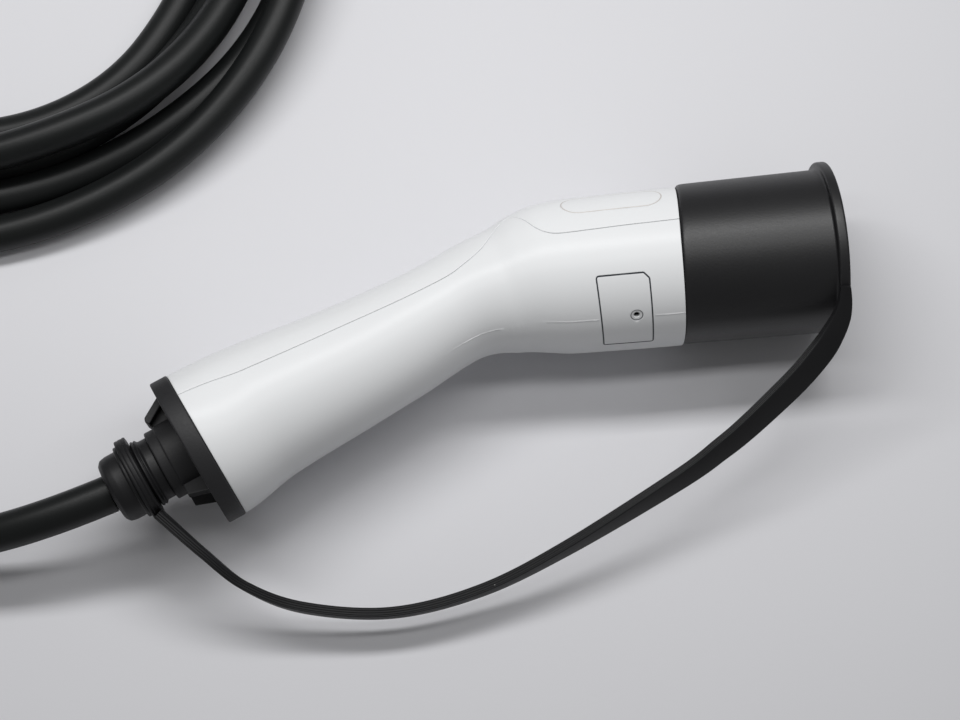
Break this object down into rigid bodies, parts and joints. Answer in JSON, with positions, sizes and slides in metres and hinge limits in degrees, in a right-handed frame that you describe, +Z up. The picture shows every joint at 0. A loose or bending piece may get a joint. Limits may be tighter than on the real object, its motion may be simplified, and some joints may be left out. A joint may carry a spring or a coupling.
{
  "type": "ev charging cable",
  "caption": "Electric car charging lead: white gun with a capped round nose and strap, black corded cable in a loose coil, and a matching plug for the wall socket.",
  "frame": {"origin": "on the table under the middle of the gun's footprint, its dust cap and strap included", "axes": "+X along the gun's nose towards the dust cap, +Y towards the crest of the gun, which lies on its side, +Z up from the table"},
  "size_m": [0.5278, 0.478, 0.0877],
  "materials": {
    "white_shell": "gloss",
    "black_plastic": "satin",
    "black_rubber": "satin",
    "cable_jacket": "satin",
    "silvered_contact": "polished",
    "screw_steel": "brushed",
    "contact_carrier": "matte",
    "core_brown": "matte",
    "core_blue": "matte",
    "core_green_yellow": "matte",
    "core_signal": "matte",
    "resistor_body": "matte"
  },
  "bodies": {
    "lead": {"cable_clamp": "black_plastic", "cable_coil": "cable_jacket", "cable_lead": "cable_jacket", "cable_tail": "cable_jacket", "clamp_screws": "screw_steel", "coding_resistor": "resistor_body", "contact_block": "contact_carrier", "core_earth": "core_green_yellow", "core_line": "core_brown", "core_neutral": "core_blue", "core_pilot": "core_signal", "flange_screws": "screw_steel", "gland_nut": "black_plastic", "gland_seal": "black_rubber", "lower_shell": "white_shell", "nose_seal": "black_rubber", "nose_sheath": "black_plastic", "plug_cable_lead": "cable_jacket", "plug_cable_tail": "cable_jacket", "plug_contact_block": "contact_carrier", "plug_flange": "black_plastic", "plug_flange_screws": "screw_steel", "plug_gland_nut": "black_plastic", "plug_gland_seal": "black_rubber", "plug_lower_shell": "white_shell", "plug_pin_earth": "silvered_contact", "plug_pin_line": "silvered_contact", "plug_pin_neutral": "silvered_contact", "plug_pin_pilot": "silvered_contact", "plug_pin_proximity": "silvered_contact", "plug_sheath": "black_plastic", "plug_upper_shell": "white_shell", "rear_flange": "black_plastic", "retainer_plate": "black_plastic", "retainer_screws": "screw_steel", "socket_earth": "silvered_contact", "socket_line": "silvered_contact", "socket_neutral": "silvered_contact", "socket_pilot": "silvered_contact", "socket_proximity": "silvered_contact", "tether": "black_rubber", "upper_shell": "white_shell"},
    "cap": {"dust_cap": "black_rubber"}
  },
  "joints": [
    {"name": "cap_pull", "type": "slide", "parent": "lead", "child": "cap", "axis": [1, 0, 0], "range_m": [0, 0.065], "deforming": ["tether"]}
  ]
}
